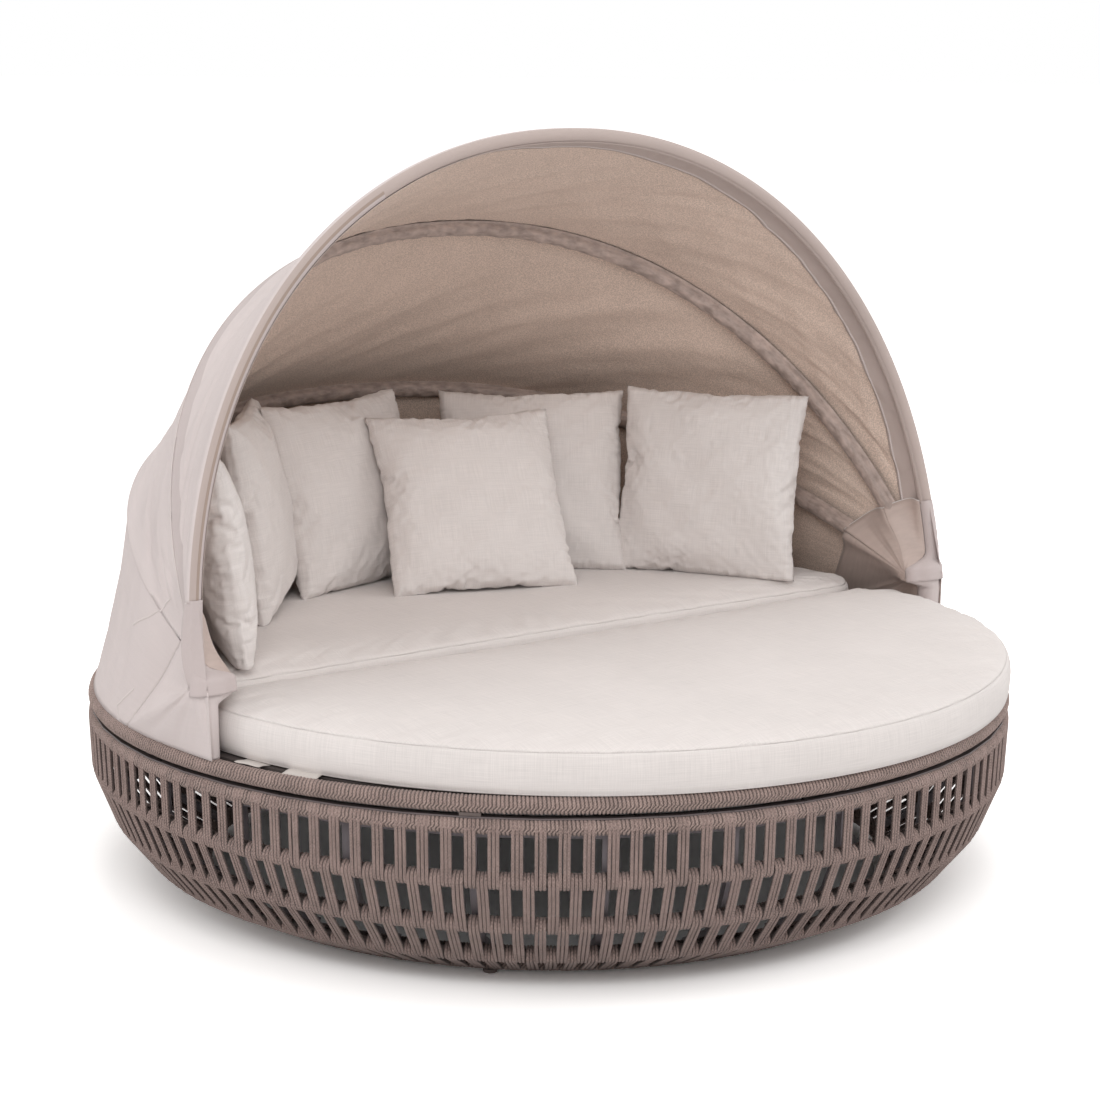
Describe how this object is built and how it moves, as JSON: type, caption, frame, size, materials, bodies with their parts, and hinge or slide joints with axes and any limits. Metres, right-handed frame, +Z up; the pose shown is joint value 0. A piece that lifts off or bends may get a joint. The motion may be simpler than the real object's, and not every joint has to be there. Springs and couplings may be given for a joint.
{
  "type": "round outdoor daybed",
  "caption": "Round outdoor daybed: open rope-strung bowl base, turning seat with half-round cushions and loose pillows, and a hooped fabric canopy that folds back.",
  "frame": {"origin": "on the floor under the middle of the round base", "axes": "+Z up, the open front of the canopy faces -Y, +X to the right of someone facing +Y"},
  "size_m": [1.948, 1.934, 1.5563],
  "materials": {
    "rope": "matt grey-brown synthetic rope, wound and strung",
    "frame": "light grey powder coat, satin",
    "hoop": "satin tube under the cloth sleeves",
    "track": "dark, slightly shiny flat band",
    "hardware": "bright fasteners and races",
    "nylon": "matt black",
    "deck": "dark matt board",
    "linen": "off-white coarse weave, matt",
    "canopy": "pale taupe-grey woven cloth",
    "patch": "darker grey-taupe, slightly satiny cloth"
  },
  "bodies": {
    "base": {"rib_cage": "frame", "base_cross": "frame", "base_ring_1": "rope", "base_ring_2": "rope", "base_ring_3": "rope", "base_ring_4": "rope", "base_ring_5": "rope", "rope_tier_1": "rope", "rope_tier_2": "rope", "rope_tier_3": "rope", "rope_tier_4": "rope", "floor_glide_1": "nylon", "floor_glide_2": "nylon", "floor_glide_3": "nylon", "floor_glide_4": "nylon", "swivel_race_lower": "hardware", "swivel_ball_cage": "nylon", "swivel_bolt": "hardware", "swivel_nut": "hardware", "swivel_track": "track"},
    "seat": {"swivel_race_upper": "hardware", "swivel_runner_1": "nylon", "swivel_runner_2": "nylon", "swivel_runner_3": "nylon", "swivel_runner_4": "nylon", "seat_ring": "rope", "seat_frame": "frame", "deck_front": "deck", "deck_rear": "deck", "front_cushion": "linen", "rear_cushion": "linen", "pillow_1": "linen", "pillow_2": "linen", "pillow_3": "linen", "pillow_4": "linen", "pillow_5": "linen", "pillow_6": "linen", "pivot_bracket_left": "frame", "pivot_bracket_right": "frame", "pivot_bolt_left": "hardware", "pivot_bolt_right": "hardware", "pivot_nut_left": "hardware", "pivot_nut_right": "hardware", "pivot_spacer_inner_left": "nylon", "pivot_spacer_inner_right": "nylon", "pivot_spacer_middle_left": "nylon", "pivot_spacer_middle_right": "nylon", "pivot_spacer_outer_left": "nylon", "pivot_spacer_outer_right": "nylon", "back_skirt": "canopy", "pivot_patch_left": "patch", "pivot_patch_right": "patch"},
    "rear_bow": {"rear_hoop": "hoop", "rear_canopy_panel": "canopy"},
    "middle_bow": {"middle_hoop": "hoop", "front_canopy_panel": "canopy"},
    "front_bow": {"front_hoop": "hoop"}
  },
  "joints": [
    {"name": "seat_swivel", "type": "hinge", "parent": "base", "child": "seat", "pos_m": [0, 0, 0.36], "axis": [0, 0, 1], "continuous": true},
    {"name": "rear_bow_fold", "type": "hinge", "parent": "seat", "child": "rear_bow", "pos_m": [0, -0.178, 0.54302], "axis": [-1, 0, 0], "range_deg": [0, 16], "deforming": ["back_skirt", "pivot_patch_left", "pivot_patch_right"]},
    {"name": "middle_bow_fold", "type": "hinge", "parent": "rear_bow", "child": "middle_bow", "pos_m": [0, -0.178, 0.54302], "axis": [-1, 0, 0], "range_deg": [0, 26], "deforming": ["rear_canopy_panel"]},
    {"name": "front_bow_fold", "type": "hinge", "parent": "middle_bow", "child": "front_bow", "pos_m": [0, -0.178, 0.54302], "axis": [-1, 0, 0], "range_deg": [0, 24], "deforming": ["front_canopy_panel"]}
  ]
}
